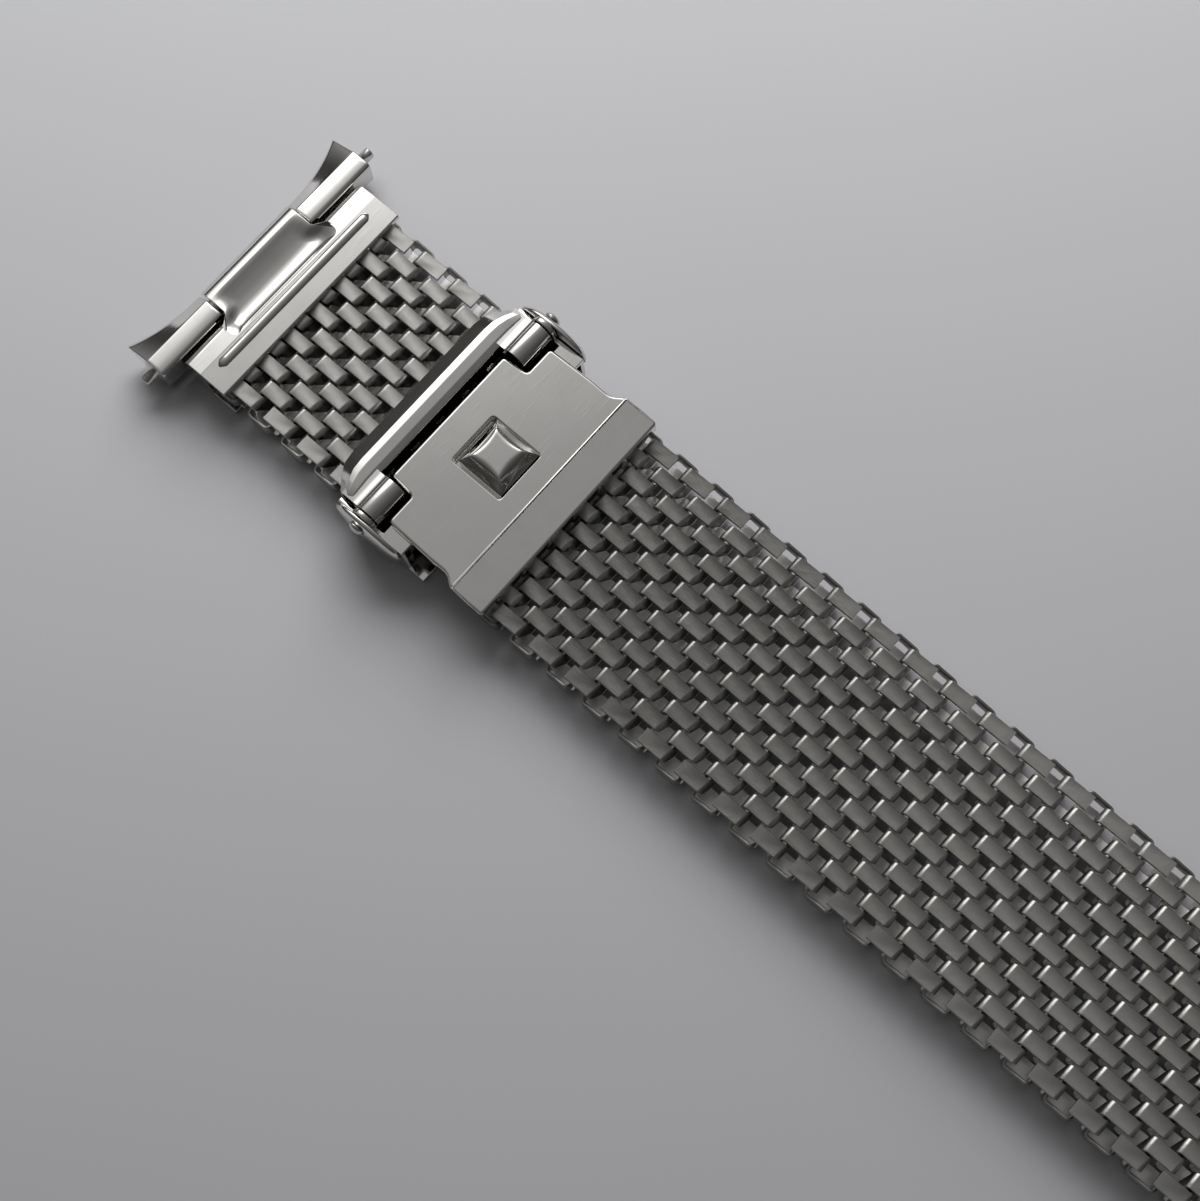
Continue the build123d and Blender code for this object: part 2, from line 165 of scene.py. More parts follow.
class Bench:
    """A node tree that is laid out one node at a time."""

    def __init__(self, tree: bpy.types.NodeTree) -> None:
        """Keeps the tree."""
        self.tree = tree

    def add(self, kind: str, settings: Optional[dict] = None, inputs: Optional[dict] = None,
            output: Union[str, int] = 0) -> Flow:
        """Adds a node of any kind.

        Args:
            kind: the node's type.
            settings: its properties, set first. "stops" are a ramp's places and grey levels.
            inputs: values or flows for its inputs, by name or number. A list joins several.
            output: the output that is wanted, by name or number.

        Returns:
            The flow of that output.
        """
        node = self.tree.nodes.new(kind)
        for key, value in (settings or {}).items():
            if key == "stops":
                self._set_stops(node.color_ramp, value)
            else:
                setattr(node, key, value)
        for key, value in (inputs or {}).items():
            for one in value if isinstance(value, list) else [value]:
                if isinstance(one, Flow):
                    self.tree.links.new(one.socket, node.inputs[key])
                else:
                    node.inputs[key].default_value = one
        return Flow(self, node.outputs[output])

    @staticmethod
    def _set_stops(ramp: bpy.types.ColorRamp, stops: Sequence[Span]) -> None:
        """Gives a ramp its stops.

        Args:
            ramp: the ramp.
            stops: each stop's place and grey level.
        """
        while len(ramp.elements) > 1:
            ramp.elements.remove(ramp.elements[-1])
        for number, (place, level) in enumerate(stops):
            stop = ramp.elements[0] if number == 0 else ramp.elements.new(place)
            stop.position = place
            stop.color = (level, level, level, 1.0)

    def feed(self, flow: Flow, node: bpy.types.Node, name: str) -> None:
        """Joins a flow to an input of a node that is already in the tree."""
        self.tree.links.new(flow.socket, node.inputs[name])

    def vector(self, operation: str, first: Any, second: Any = (0.0, 0.0, 0.0)) -> Flow:
        """Adds a Vector Math node and returns its vector."""
        return self.add("ShaderNodeVectorMath", {"operation": operation}, {0: first, 1: second})

    def scaled(self, vector: Flow, factor: Any) -> Flow:
        """A vector times a number."""
        return self.add("ShaderNodeVectorMath", {"operation": "SCALE"}, {0: vector, "Scale": factor})

    def place(self, x: Any, y: Any, z: Any) -> Flow:
        """A vector from three numbers or flows."""
        return self.add("ShaderNodeCombineXYZ", None, {0: x, 1: y, 2: z})

    def axis(self, vector: Flow, name: str) -> Flow:
        """One of a vector's three numbers: X, Y or Z."""
        return self.add("ShaderNodeSeparateXYZ", None, {0: vector}, name)

    def tint(self, share: Any, first: Any, second: Any) -> Flow:
        """A colour between two others."""
        return self.add("ShaderNodeMix", {"data_type": "RGBA"}, {0: share, 6: first, 7: second}, 2)

    def noise(self, place: Flow, size: float, detail: float, roughness: float = 0.5) -> Flow:
        """Noise of a size in millimetres."""
        return self.add("ShaderNodeTexNoise", None, {0: place, "Scale": 1 / (size * MM),
                                                     "Detail": detail, "Roughness": roughness})

    def drawn_out(self, place: Flow, scale: Place, turn: float = 0.0) -> Flow:
        """Coordinates that draw a pattern out where the scale is small, turned about Z."""
        return self.add("ShaderNodeMapping", None, {0: place, "Scale": scale, "Rotation": (0.0, 0.0, turn)})

    def relief(self, height: Flow, shader: bpy.types.Node) -> None:
        """Gives a shader a bump whose height is in millimetres."""
        bump = self.add("ShaderNodeBump", None, {"Height": height, "Distance": MM, "Strength": 1.0})
        self.feed(bump, shader, "Normal")

    def store(self, shape: Flow, name: str, value: Any, kind: str = "FLOAT", domain: str = "POINT") -> Flow:
        """Writes an attribute of a shape."""
        return self.add("GeometryNodeStoreNamedAttribute", {"data_type": kind, "domain": domain},
                        {0: shape, "Name": name, "Value": value})

    def stored(self, name: str, kind: str = "FLOAT") -> Flow:
        """Reads an attribute of a shape."""
        return self.add("GeometryNodeInputNamedAttribute", {"data_type": kind}, {"Name": name})

    def chance(self, low: float, high: float, inputs: dict) -> Flow:
        """A random number from low to high, by the seed in its inputs."""
        return self.add("FunctionNodeRandomValue", {"data_type": "FLOAT"}, {2: low, 3: high, **inputs}, 1)

    def filleted(self, line: Flow, faces: int, radius: Any) -> Flow:
        """A line with its corners rounded."""
        return self.add("GeometryNodeFilletCurve", {"mode": "POLY"},
                        {0: line, "Count": faces, "Radius": radius, "Limit Radius": True})

    def row(self, inputs: dict) -> Flow:
        """A row of points joined by edges."""
        return self.add("GeometryNodeMeshLine", {"mode": "OFFSET", "count_mode": "TOTAL"}, inputs)


def new_material(name: str) -> tuple[bpy.types.Material, Bench, bpy.types.Node, Flow]:
    """Makes a node material to be filled.

    Args:
        name: the material's name.

    Returns:
        The material, the bench of its tree, its Principled shader and its Object coordinates.
    """
    material = bpy.data.materials.new(name)
    material.use_nodes = True
    bench = Bench(material.node_tree)
    place = bench.add("ShaderNodeTexCoord", output="Object")
    return material, bench, material.node_tree.nodes["Principled BSDF"], place


@dataclass(frozen=True)
class MirrorSteel:
    """Polished steel with soft waves, a faint haze and fine scuffs. Sizes are in millimetres."""

    slot: str = "polished_steel"
    colour: Colour = (0.74, 0.725, 0.70, 1.0)
    haze_colour: Colour = (0.70, 0.685, 0.66, 1.0)
    roughness: float = 0.075
    haze_size: float = 2.2
    haze_roughness: float = 0.045
    scuff_size: float = 0.35
    scuff_turn: float = 0.5
    scuff_roughness: float = 0.03
    scuff_height: float = 0.0006
    wave_size: float = 3.2
    wave_height: float = 0.006

    def material(self) -> bpy.types.Material:
        """Returns the finish as a material."""
        material, bench, shader, place = new_material(self.slot)
        haze = bench.noise(place, self.haze_size, 3.0, 0.6).between(0.42, 0.75)
        drawn = bench.drawn_out(place, (1.0, 0.16, 1.0), self.scuff_turn)
        scuff = bench.noise(drawn, self.scuff_size, 2.0).between(0.56, 0.72)
        wave = bench.noise(place, self.wave_size, 1.0)
        rough = haze * self.haze_roughness + scuff * self.scuff_roughness + self.roughness
        bench.feed(bench.tint(haze, self.colour, self.haze_colour), shader, "Base Color")
        bench.feed(rough, shader, "Roughness")
        bench.relief(wave * self.wave_height + scuff * self.scuff_height, shader)
        shader.inputs["Metallic"].default_value = 1.0
        return material


@dataclass(frozen=True)
class RibbonSteel:
    """Satin steel ribbon: lighter on its bends with wear and a painted highlight, with painted shade in its
    depths, and with painted pale light on its inner faces.

    The long side's flats are darker near the clasp and lighter further on, and painted shade blackens
    the coils under the lock bar. Sizes are in millimetres, and each pair is where a change starts and ends.
    """

    slot: str = "mesh_steel"
    flat_colour: Colour = (0.49, 0.48, 0.455, 1.0)
    # darker colour for the long side's flats near the clasp, and for the hoops
    darker_colour: Colour = (0.21, 0.202, 0.19, 1.0)
    # lighter colour of wear with a painted highlight on the bends, also used for the brushed streaks
    worn_and_highlight_colour: Colour = (0.56, 0.55, 0.53, 1.0)
    # near-black painted shade for the mesh's depths
    depth_shade_colour: Colour = (0.03, 0.027, 0.025, 1.0)
    # near-white painted light for the low legs' inner faces
    painted_pale_colour: Colour = (0.97, 0.955, 0.93, 1.0)
    # near-black painted shade for the coils under the lock bar
    clasp_shade_colour: Colour = (0.008, 0.007, 0.006, 1.0)
    middle: float = 1.75
    depth_shade_height: Span = (0.75, 1.27)
    painted_pale_height: Span = (1.0, 1.3)
    painted_pale_edge: Span = (6.4, 6.9)
    darkening_in: Span = (4.0, 8.0)
    darkening_out: Span = (12.0, 55.0)
    clasp_shade_start: Span = (-1.95, -1.75)
    clasp_shade_end: Span = (1.45, 1.65)
    flat_roughness: float = 0.33
    worn_roughness: float = 0.30
    painted_pale_roughness: float = 0.34
    grain_size: float = 0.07
    brush_size: float = 0.05
    patch_size: float = 0.5

    def material(self) -> bpy.types.Material:
        """Returns the finish as a material."""
        material, bench, shader, place = new_material(self.slot)
        along, across, height = (bench.axis(place, name) / MM for name in "XYZ")
        bend, shade, inner, hoop = (bench.add("ShaderNodeAttribute", {"attribute_name": name}, output="Fac")
                                    for name in ("bend", "shade", "inner", "hoop"))
        grain = bench.noise(place, self.grain_size, 3.0, 0.7)
        brushed = bench.noise(bench.drawn_out(place, (0.08, 1.0, 1.0)), self.brush_size, 2.0)
        patch = bench.noise(place, self.patch_size, 2.0)

        # painted light: the low legs' inner faces turn near-white, standing in for the bright patches between
        # the blocks
        painted_pale = inner * (1.0 - height.between(*self.painted_pale_height))
        # painted shade: the coils darken to near-black at their middle heights, deep inside the mesh, except
        # on the inner faces and the hoops
        depth = 1.0 - abs(height - self.middle).between(*self.depth_shade_height)
        painted_depth_shade = depth * (1.0 - painted_pale) * (1.0 - hoop)
        # wear and painted highlight: the bends turn lighter, in patches
        worn_and_highlight = bend * (0.6 + patch * 0.5)
        # darker flats along the band: coming in from 4 mm to 8 mm, and mostly fading out from 12 mm to 55 mm
        long_side_darkening = along.between(*self.darkening_in) * (1.0 - along.between(*self.darkening_out) * 0.95)
        # painted shade: the coils under the lock bar, where the clasp shades them, turn near-black and
        # rougher
        painted_clasp_shade = along.between(*self.clasp_shade_start) * (1.0 - along.between(*self.clasp_shade_end))
        streaks = shade * 0.12 + brushed.between(0.35, 0.8) * 0.25

        colour: Any = self.flat_colour
        for share, layer in ((long_side_darkening, self.darker_colour), (streaks, self.worn_and_highlight_colour), (worn_and_highlight, self.worn_and_highlight_colour),
                             (painted_depth_shade, self.depth_shade_colour), (hoop * 0.6, self.darker_colour),
                             (painted_pale, self.painted_pale_colour), (painted_clasp_shade, self.clasp_shade_colour)):
            colour = bench.tint(share, colour, layer)
        bench.feed(colour, shader, "Base Color")
        rough = (self.flat_roughness + (grain - 0.5) * 0.18 + shade * 0.06
                 - worn_and_highlight * (self.flat_roughness - self.worn_roughness)
                 + painted_pale * (self.painted_pale_roughness - self.flat_roughness) + painted_clasp_shade * 0.25)
        bench.feed(rough, shader, "Roughness")
        bench.relief(grain * 0.010 + brushed * 0.006 + patch * 0.012, shader)
        # the painted pale light is matt and not metal, except near the band's edges and under the lock bar
        matt = painted_pale * (1.0 - abs(across).between(*self.painted_pale_edge)) * (1.0 - painted_clasp_shade)
        bench.feed(1.0 - matt * 0.95, shader, "Metallic")
        return material


@dataclass(frozen=True)
class TurnedSteel:
    """Bright turned steel with fine rings round the band's cross direction."""

    slot: str = "pin_steel"
    colour: Colour = (0.68, 0.665, 0.64, 1.0)
    ring_colour: Colour = (0.52, 0.505, 0.48, 1.0)
    roughness: float = 0.12
    ring_size: float = 0.06
    ring_height: float = 0.008
    ring_roughness: float = 0.14

    def material(self) -> bpy.types.Material:
        """Returns the finish as a material."""
        material, bench, shader, place = new_material(self.slot)
        ring = bench.noise(bench.drawn_out(place, (0.05, 1.0, 0.05)), self.ring_size, 3.0)
        bench.feed(bench.tint(ring.between(0.45, 0.7), self.colour, self.ring_colour), shader, "Base Color")
        bench.feed(ring * self.ring_roughness + self.roughness, shader, "Roughness")
        bench.relief(ring * self.ring_height, shader)
        shader.inputs["Metallic"].default_value = 1.0
        return material


class Finish(Enum):
    """The three finishes of the band."""

    MIRROR = MirrorSteel()
    RIBBON = RibbonSteel()
    TURNED = TurnedSteel()


class Workshop:
    """Keeps one material for each finish, and turns drafts into finished pieces."""

    materials: dict[Finish, bpy.types.Material] = {}

    @classmethod
    def material(cls, finish: Finish) -> bpy.types.Material:
        """The material of a finish, made once."""
        if finish not in cls.materials:
            cls.materials[finish] = finish.value.material()
        return cls.materials[finish]

    @classmethod
    def bake(cls, raw: bpy.types.Object, name: str) -> bpy.types.Object:
        """Turns an object and its modifiers into a plain mesh with weighted normals.

        Args:
            raw: the object with its modifiers, which is removed.
            name: the finished piece's name.

        Returns:
            The plain piece.
        """
        weigh = raw.modifiers.new("weigh", "WEIGHTED_NORMAL")
        weigh.keep_sharp = True
        bpy.context.view_layer.update()
        graph = bpy.context.evaluated_depsgraph_get()
        mesh = bpy.data.meshes.new_from_object(raw.evaluated_get(graph), preserve_all_data_layers=True,
                                               depsgraph=graph)
        bpy.data.objects.remove(raw)
        mesh.name = name
        return added(name, mesh)

    @classmethod
    def fit(cls, piece: bpy.types.Object, finish: Finish, nodes: Sequence[str]) -> None:
        """Puts a finished piece in the place of CAD nodes, on their body.

        Args:
            piece: the finished piece.
            finish: its finish.
            nodes: the CAD nodes that it stands for, the first of which names the body.
        """
        piece.data.materials.clear()
        piece.data.materials.append(cls.material(finish))
        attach(piece, frame["nodes"][nodes[0]]["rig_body"])
        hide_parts(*nodes)
        LOG.info("%s: %d faces on %s", piece.name, len(piece.data.polygons), piece["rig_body"])


class Draft:
    """A closed shape drawn in millimetres, ring by ring."""

    def __init__(self) -> None:
        """Starts an empty shape."""
        self.mesh = bmesh.new()

    def ring(self, points: Iterable[Sequence[float]]) -> list:
        """Adds a ring of points and returns its vertices."""
        return [self.mesh.verts.new(Vector(p) * MM) for p in points]

    def skin(self, rings: Sequence[list], closed: bool = True) -> None:
        """Joins each ring to the next with four-sided faces.

        Args:
            rings: the rings' vertices.
            closed: whether each ring's last vertex joins its first.
        """
        for first, second in zip(rings, rings[1:]):
            count = len(first)
            for i in range(count if closed else count - 1):
                j = (i + 1) % count
                self.mesh.faces.new((first[i], first[j], second[j], second[i]))

    def lid(self, ring: list, hole: Optional[list] = None) -> None:
        """Closes a ring with a flat face, or with faces round a hole.

        Args:
            ring: the ring's vertices.
            hole: the hole's vertices, if it has one.
        """
        if hole is None:
            self.mesh.faces.new(ring)
            return
        edges = []
        for loop in (ring, hole):
            for first, second in zip(loop, loop[1:] + loop[:1]):
                edges.append(self.mesh.edges.get((first, second)) or self.mesh.edges.new((first, second)))
        bmesh.ops.triangle_fill(self.mesh, use_beauty=True, use_dissolve=False, edges=edges)

    def loft(self, rings: Sequence[Sequence[Sequence[float]]]) -> "Draft":
        """Skins a row of rings and closes both ends.

        Args:
            rings: the points of each ring.

        Returns:
            The draft itself.
        """
        rows = [self.ring(r) for r in rings]
        self.skin(rows)
        self.lid(rows[0])
        self.lid(rows[-1])
        return self

    def place(self, move: Callable[[Vector], Vector]) -> "Draft":
        """Moves every point.

        Args:
            move: the rule, which takes and gives millimetres.

        Returns:
            The draft itself.
        """
        for vert in self.mesh.verts:
            vert.co = move(vert.co / MM) * MM
        return self

    def absorb(self, other: "Draft") -> None:
        """Takes in another closed shape.

        Args:
            other: the shape, which is used up.
        """
        data = bpy.data.meshes.new("absorbed")
        other.mesh.to_mesh(data)
        other.mesh.free()
        self.mesh.from_mesh(data)
        bpy.data.meshes.remove(data)

    def solid(self, name: str, bevel: float = 0.0, segments: int = 3, angle: float = 30.0,
              cutters: Sequence["Draft"] = ()) -> bpy.types.Object:
        """Finishes the shape.

        Args:
            name: the piece's name.
            bevel: the width of the rounding on its edges, or 0.
            segments: the number of faces across that rounding.
            angle: the least angle between two faces that is rounded, in degrees.
            cutters: closed shapes that are cut out of it first.

        Returns:
            A plain mesh object with its faces outwards.
        """
        bmesh.ops.remove_doubles(self.mesh, verts=self.mesh.verts, dist=0.0005 * MM)
        bmesh.ops.recalc_face_normals(self.mesh, faces=self.mesh.faces)
        data = bpy.data.meshes.new(name + "_draft")
        self.mesh.to_mesh(data)
        self.mesh.free()
        data.shade_smooth()
        raw = added(name + "_draft", data)
        tools = [cutter.solid(f"{name}_cutter_{number}") for number, cutter in enumerate(cutters)]
        for tool in tools:
            cut = raw.modifiers.new("cut", "BOOLEAN")
            cut.operation, cut.solver, cut.object = "DIFFERENCE", "EXACT", tool
        if bevel > 0:
            round_off = raw.modifiers.new("round_off", "BEVEL")
            round_off.width = bevel * MM
            round_off.segments = segments
            round_off.limit_method = "ANGLE"
            round_off.angle_limit = math.radians(angle)
            round_off.use_clamp_overlap = True
        piece = Workshop.bake(raw, name)
        for tool in tools:
            bpy.data.objects.remove(tool)
        return piece


def rounded(corners: Sequence[Corner], steps: int = 6) -> list[Point]:
    """Rounds the corners of a closed outline.

    Args:
        corners: each corner's two coordinates and its radius.
        steps: the number of pieces that each arc has.

    Returns:
        The outline's points.
    """
    outline: list[Point] = []
    for number, (x, y, radius) in enumerate(corners):
        here = Vector((x, y))
        before = Vector(corners[number - 1][:2]) - here
        after = Vector(corners[(number + 1) % len(corners)][:2]) - here
        if radius <= 0:
            outline.append((x, y))
            continue
        half = before.angle(after) / 2
        cut = min(radius / math.tan(half), 0.49 * before.length, 0.49 * after.length)
        reach = cut * math.tan(half)
        middle = here + (before.normalized() + after.normalized()).normalized() * (reach / math.sin(half))
        start = here + before.normalized() * cut - middle
        end = here + after.normalized() * cut - middle
        turn = math.remainder(math.atan2(end.y, end.x) - math.atan2(start.y, start.x), math.tau)
        for step in range(steps + 1):
            at = math.atan2(start.y, start.x) + turn * step / steps
            outline.append((middle.x + reach * math.cos(at), middle.y + reach * math.sin(at)))
    return outline


def mirrored(half: Sequence[Corner]) -> list[Corner]:
    """The corners of half an outline, and then those of its other half across the X axis."""
    return [*half, *((x, -y, radius) for x, y, radius in reversed(half))]


def arc(x: float, z: float, radius: float, start: float, end: float, steps: int) -> list[Point]:
    """Points on an arc, from one angle to another in degrees."""
    angles = [math.radians(start + (end - start) * n / steps) for n in range(steps + 1)]
    return [(x + radius * math.cos(a), z + radius * math.sin(a)) for a in angles]


def bar(points: Sequence[Point], y0: float, y1: float) -> Draft:
    """An outline in X and Z drawn out along Y."""
    return Draft().loft([[(x, y, z) for x, z in points] for y in (y0, y1)])


def lathe(x: float, z: float, profile: Sequence[Point], steps: int = 32) -> Draft:
    """A turned piece about an axis along Y.

    Args:
        x: where the axis is.
        z: where the axis is.
        profile: pairs of a place along Y and a radius there.
        steps: the number of faces round it.

    Returns:
        The draft.
    """
    return Draft().loft([[(px, y, pz) for px, pz in arc(x, z, r, 0, 360 * (1 - 1 / steps), steps - 1)]
                         for y, r in profile])


def insets(outline: Sequence[Point]) -> list[Vector]:
    """Finds the way inwards that keeps an outline's sides parallel.

    Args:
        outline: the points of the closed outline.

    Returns:
        The way at each point.
    """
    area = sum(a[0] * b[1] - b[0] * a[1] for a, b in zip(outline, outline[1:] + outline[:1]))
    sign = 1 if area > 0 else -1
    ways = []
    for number, point in enumerate(outline):
        before = (Vector(point) - Vector(outline[number - 1])).normalized()
        after = (Vector(outline[(number + 1) % len(outline)]) - Vector(point)).normalized()
        first = Vector((-before.y, before.x)) * sign
        second = Vector((-after.y, after.x)) * sign
        middle = (first + second).normalized()
        ways.append(middle / max(0.35, middle.dot(first)))
    return ways


def pressed(outline: Sequence[Point], low: float, high: float, rim: Callable[[float, float], float],
            hole: Optional[Sequence[Point]] = None, hole_rim: float = 0.1) -> Draft:
    """A plate whose upper rim is rounded over.

    Args:
        outline: its closed outline in X and Y.
        low: the level of its underside.
        high: the level of its top.
        rim: the radius of the rim at a point of the outline.
        hole: the closed outline of a hole through it.
        hole_rim: the radius of the hole's rim.

    Returns:
        The draft.
    """
    draft = Draft()
    foot, steps = 0.05, 5

    def wall(loop: Sequence[Point], radius: Callable[[float, float], float], sign: float) -> list[list]:
        """Rings up one wall and over its rim.

        Args:
            loop: the wall's outline.
            radius: the radius of its rim at a point.
            sign: 1 for the outer wall, -1 for the hole's.

        Returns:
            The rings' vertices, from the underside up.
        """
        ways = insets(loop)
        rows = [[(*(Vector(p) + w * foot * sign), low) for p, w in zip(loop, ways)],
                [(*p, low + foot) for p in loop]]
        for step in range(steps + 1):
            turn = math.pi / 2 * step / steps
            rows.append([(*(Vector(p) + w * sign * radius(*p) * (1 - math.cos(turn))),
                          high - radius(*p) * (1 - math.sin(turn))) for p, w in zip(loop, ways)])
        rows.append([(*(Vector(p) + w * sign * (radius(*p) + 0.02)), high) for p, w in zip(loop, ways)])
        return [draft.ring(r) for r in rows]

    outer = wall(outline, rim, 1.0)
    draft.skin(outer)
    if hole is None:
        draft.lid(outer[0])
        draft.lid(outer[-1])
        return draft
    inner = wall(hole, lambda x, y: hole_rim, -1.0)
    draft.skin(inner)
    draft.lid(outer[0], inner[0])
    draft.lid(outer[-1], inner[-1])
    return draft


def softened(node: str, width: float) -> bpy.types.Object:
    """A copy of a CAD node with its edges rounded.

    Args:
        node: the CAD node.
        width: the rounding's width in millimetres.

    Returns:
        The copy, not yet in place of the node.
    """
    draft = Draft()
    draft.mesh.from_mesh(frame["nodes"][node].data)
    bmesh.ops.remove_doubles(draft.mesh, verts=draft.mesh.verts, dist=0.002 * MM)
    bmesh.ops.dissolve_limit(draft.mesh, angle_limit=math.radians(1.0), verts=draft.mesh.verts,
                             edges=draft.mesh.edges)
    return draft.solid(node + "_soft", width, 2, 35.0)


@dataclass
class MeshBand:
    """The woven mesh: flat-wire coils across the band, each hooked into the next.

    Sizes are in millimetres and angles in radians. The coils are drawn to dressed_length, a little
    longer than the CAD's.
    """

    spacing: float = 1.50
    length: float = 2.16
    dressed_length: float = 2.30
    height: float = 2.60
    pitch: float = 2.40
    width: float = 1.06
    thickness: float = 0.24
    bend_radius: float = 0.25
    bend_faces: int = 5
    edge_softness: float = 0.055
    edge_faces: int = 2
    middle: float = 1.75
    turns: int = 7
    hoop_half: float = 1.0
    hoop_thickness: float = 0.20
    hoop_start: float = 7.60
    hoop_end: float = 8.13
    hoop_radius: float = 0.26
    hoop_softness: float = 0.05
    hoop_drop: float = 0.14
    hoop_gloss: float = 0.35
    gloss_start: float = 0.38
    gloss_span: float = 0.26
    jitter: float = 0.003
    sway: float = 0.0012
    seed: int = 11
    group: Optional[bpy.types.NodeTree] = None
    keys: dict[str, str] = field(default_factory=dict)

    def _sweep(self, bench: Bench, path: Flow, wide: Flow, width: Any, thickness: Any, softness: Any,
               radius: Any) -> Flow:
        """Sweeps a flat ribbon along a path of straight runs and closes its ends.

        Args:
            bench: the bench of the tree.
            path: the path's points, joined by edges.
            wide: the direction that the ribbon is wide in.
            width: the ribbon's width.
            thickness: the ribbon's thickness.
            softness: the rounding of its long edges.
            radius: the radius of each bend.

        Returns:
            The ribbon's mesh.
        """
        kind = "FLOAT_VECTOR"
        place = bench.add("GeometryNodeInputPosition")
        along = bench.add("GeometryNodeInputTangent")
        line = bench.add("GeometryNodeMeshToCurve", None, {0: path})
        line = bench.store(bench.filleted(line, self.bend_faces, radius), "path", place, kind)
        inward = bench.vector("NORMALIZE", bench.vector("CROSS_PRODUCT", wide, along))
        line = bench.store(line, "inward", inward, kind)
        profile = bench.add("GeometryNodeCurvePrimitiveQuadrilateral", {"mode": "RECTANGLE"},
                            {"Width": width, "Height": thickness})
        profile = bench.filleted(profile, self.edge_faces, softness)
        ribbon = bench.add("GeometryNodeCurveToMesh", None, {
            "Curve": line, "Profile Curve": bench.store(profile, "section", place, kind), "Fill Caps": True})
        spot, lean, section = (bench.stored(name, kind) for name in ("path", "inward", "section"))
        for way, name in ((wide, "X"), (lean, "Y")):
            spot = bench.vector("ADD", spot, bench.scaled(way, bench.axis(section, name)))
        return bench.add("GeometryNodeSetPosition", None, {0: ribbon, "Position": spot})

    def _coil(self, bench: Bench, given: Flow, number: Flow) -> Flow:
        """Shapes one coil about the origin, and marks its legs, its bends and its inner faces.

        Args:
            bench: the bench of the tree.
            given: the group's inputs.
            number: each point's index.

        Returns:
            The coil's mesh.
        """
        thick, length, pitch = (given.out(n) for n in ("Ribbon Thickness", "Coil Length", "Pitch"))
        last = given.out("Turns") - 1.0
        leg = number // 2.0
        side = 1.0 - (leg % 2.0) * 2.0
        x = side * ((number % 2.0) * 2.0 - 1.0) * (length - thick) / 2.0
        y = leg * pitch / 2.0 - last * pitch / 2.0
        z = side * (given.out("Coil Height") - thick) / 2.0
        path = bench.row({"Count": given.out("Turns") * 4.0 - 2.0})
        path = bench.add("GeometryNodeSetPosition", None, {0: path, "Position": bench.place(x, y, z)})
        coil = self._sweep(bench, bench.store(path, "leg", leg), bench.place(0.0, 1.0, 0.0),
                           given.out("Ribbon Width"), thick, given.out("Edge Softness"),
                           given.out("Bend Radius"))
        spot = bench.add("GeometryNodeInputPosition")
        beyond = abs(bench.axis(spot, "X")) - length / 2.0 + self.gloss_start * MM
        kept = (last - abs(bench.stored("leg") - last)).between(0.0, 1.0)
        gloss = (beyond / (self.gloss_span * MM)).between(0.0, 1.0) * kept
        # the bend mark feeds the wear and painted highlight on the bends
        coil = bench.store(coil, "bend", gloss)
        # the inner mark feeds the painted pale light on the low legs' inner faces
        depth = self.height / 2 * MM - abs(bench.axis(spot, "Z"))
        return bench.store(coil, "inner", (depth / thick).between(0.55, 0.95))

    def _hoops(self, bench: Bench, number: Flow) -> Flow:
        """Shapes the pair of hoops that closes a gap at the band's two edges.

        Args:
            bench: the bench of the tree.
            number: each point's index.

        Returns:
            The hoops' mesh.
        """
        right = (number // 2.0) * 2.0 - 1.0
        far = ((number + 1.0) // 2.0) % 2.0
        half = self.hoop_thickness / 2
        x = right * ((self.hoop_half - half) * MM)
        y = far * ((self.hoop_end - half - self.hoop_start) * MM) + self.hoop_start * MM
        z = right * far * (-self.hoop_drop * MM)
        path = bench.add("GeometryNodeSetPosition", None,
                         {0: bench.row({"Count": 4}), "Position": bench.place(x, y, z)})
        hoop = self._sweep(bench, path, bench.place(0.0, 0.0, 1.0), self.width * MM,
                           self.hoop_thickness * MM, self.hoop_softness * MM, self.hoop_radius * MM)
        # the hoops take a share of the bends' wear and painted highlight
        hoop = bench.store(bench.store(hoop, "bend", self.hoop_gloss), "hoop", 1.0)
        other = bench.add("GeometryNodeTransform", None, {0: hoop, "Rotation": (0.0, 0.0, math.pi)})
        return bench.add("GeometryNodeJoinGeometry", None, {0: [hoop, other]})

    def _weave(self, bench: Bench, given: Flow, number: Flow) -> Flow:
        """Sets the coils side by side, every second one turned over and closed by hoops.

        Args:
            bench: the bench of the tree.
            given: the group's inputs.
            number: each point's index.

        Returns:
            The stretch's mesh.
        """
        coil, hoops = self._coil(bench, given, number), self._hoops(bench, number)
        seed = given.out("Seed")
        row = bench.row({"Count": given.out("Coils"),
                         "Start Location": bench.place(given.out("First Coil"), 0.0, given.out("Middle")),
                         "Offset": bench.place(given.out("Spacing"), 0.0, 0.0)})
        low = (number + given.out("First Parity")) % 2.0
        jitter = bench.chance(-self.jitter, self.jitter, {"Seed": seed})
        sway = bench.chance(-self.sway, self.sway, {"Seed": seed + 7})
        coils = bench.add("GeometryNodeInstanceOnPoints", None, {
            "Points": row, "Instance": coil, "Rotation": bench.place(0.0, low * math.pi + jitter, sway)})
        coils = bench.store(coils, "coil", number + 0.0, domain="INSTANCE")
        edge = bench.add("GeometryNodeInstanceOnPoints", None,
                         {"Points": row, "Selection": low, "Instance": hoops})
        woven = bench.add("GeometryNodeJoinGeometry", None, {0: [coils, edge]})
        woven = bench.add("GeometryNodeRealizeInstances", None, {0: woven})
        mark = bench.stored("leg") + bench.stored("coil") * 32.0
        woven = bench.store(woven, "shade", bench.chance(0.0, 1.0, {"ID": mark, "Seed": seed}))
        small = bench.add("FunctionNodeCompare", {"data_type": "INT", "operation": "LESS_THAN"},
                          {2: bench.add("GeometryNodeInputMeshFaceNeighbors"), 3: 5})
